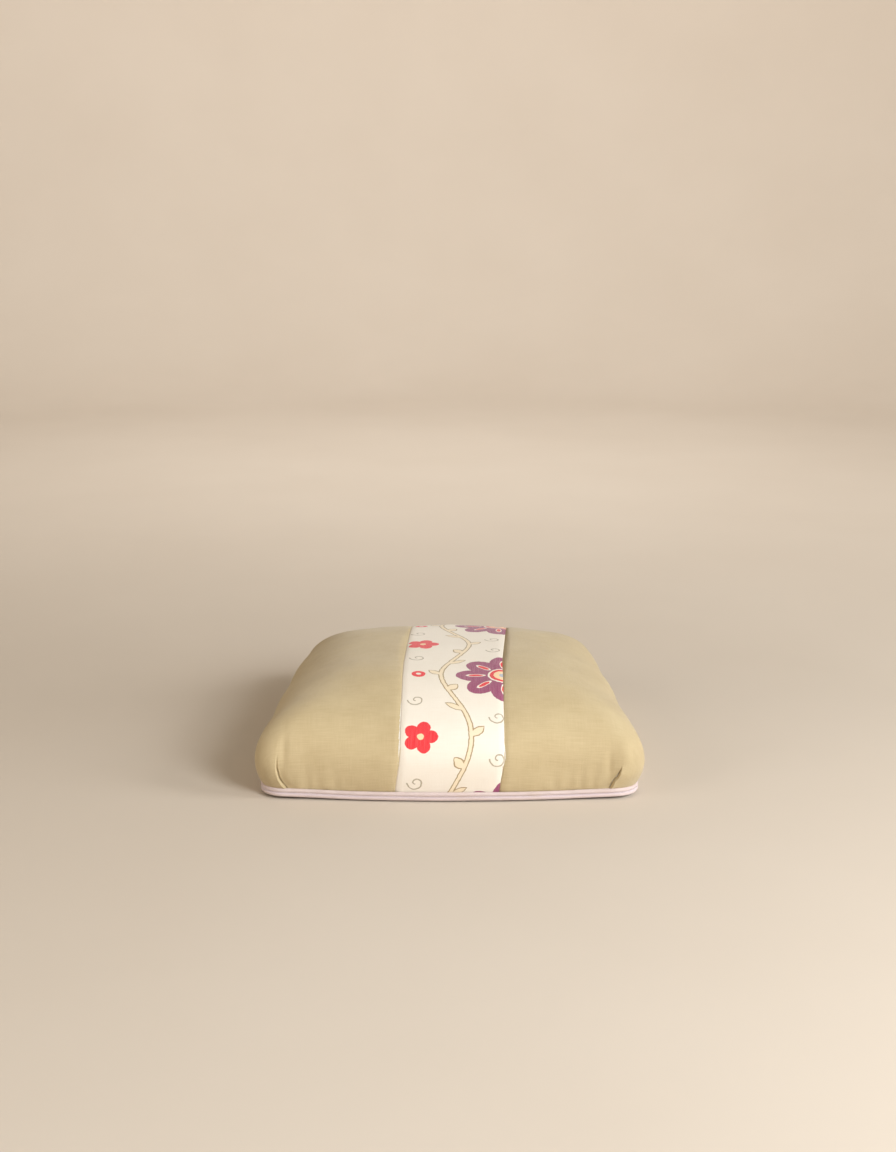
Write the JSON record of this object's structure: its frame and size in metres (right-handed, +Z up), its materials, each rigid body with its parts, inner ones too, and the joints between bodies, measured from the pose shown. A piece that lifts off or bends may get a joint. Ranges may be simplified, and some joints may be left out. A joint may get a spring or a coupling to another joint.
{
  "type": "chair seat pad",
  "caption": "Domed sprung seat pad for a side chair, with linen side panels, a printed centre strip and double piping round the base.",
  "frame": {"origin": "middle of the underside, where the pad rests on the chair rails", "axes": "+X to the right as seen from the front, +Y to the back, +Z up; the bowed front faces -Y"},
  "size_m": [0.4868, 0.4856, 0.134],
  "materials": {
    "hardwood": "planed",
    "jute_webbing": "coarse weave",
    "spring_wire": "satin",
    "laid_cord": "twisted",
    "hessian": "open weave",
    "hair_stuffing": "fibrous",
    "wadding": "fibrous",
    "calico": "plain weave",
    "printed_linen": "plain weave, printed",
    "olive_linen": "plain weave",
    "dust_cloth": "matt",
    "piping_cord": "twisted",
    "piping_cloth": "smooth"
  },
  "bodies": {
    "seat_base": {"calico_lining": "calico", "corner_block_back_left": "hardwood", "corner_block_back_right": "hardwood", "corner_block_front_left": "hardwood", "corner_block_front_right": "hardwood", "cover_centre_panel": "printed_linen", "cover_left_panel": "olive_linen", "cover_right_panel": "olive_linen", "dust_cover": "dust_cloth", "edge_roll_back": "hair_stuffing", "edge_roll_front": "hair_stuffing", "edge_roll_left": "hair_stuffing", "edge_roll_right": "hair_stuffing", "lashing_cross_front": "laid_cord", "lashing_cross_middle": "laid_cord", "lashing_cross_rear": "laid_cord", "lashing_long_left": "laid_cord", "lashing_long_middle": "laid_cord", "lashing_long_right": "laid_cord", "piping_cord_lower_back": "piping_cord", "piping_cord_lower_front": "piping_cord", "piping_cord_upper_back": "piping_cord", "piping_cord_upper_front": "piping_cord", "piping_cover_back": "piping_cloth", "piping_cover_front": "piping_cloth", "rail_back": "hardwood", "rail_front": "hardwood", "rail_left": "hardwood", "rail_right": "hardwood", "scrim": "hessian", "second_stuffing": "hair_stuffing", "spring_1": "spring_wire", "spring_2": "spring_wire", "spring_3": "spring_wire", "spring_4": "spring_wire", "spring_5": "spring_wire", "spring_canvas": "hessian", "wadding": "wadding", "webbing_cross_a": "jute_webbing", "webbing_cross_b": "jute_webbing", "webbing_cross_c": "jute_webbing", "webbing_cross_d": "jute_webbing", "webbing_long_a": "jute_webbing", "webbing_long_b": "jute_webbing", "webbing_long_c": "jute_webbing", "webbing_long_d": "jute_webbing"},
    "sprung_centre": {"first_stuffing_centre": "hair_stuffing"}
  },
  "joints": [
    {"name": "seat_sink", "type": "slide", "parent": "seat_base", "child": "sprung_centre", "axis": [0, 0, 1], "range_m": [-0.02, 0], "stiffness_N_per_m": 22000, "springref_m": 0.003, "deforming": ["spring_1", "spring_2", "spring_3", "spring_4", "spring_5", "lashing_cross_front", "lashing_cross_middle", "lashing_cross_rear", "lashing_long_left", "lashing_long_middle", "lashing_long_right", "spring_canvas", "scrim", "second_stuffing", "calico_lining", "wadding", "cover_left_panel", "cover_centre_panel", "cover_right_panel"]}
  ]
}
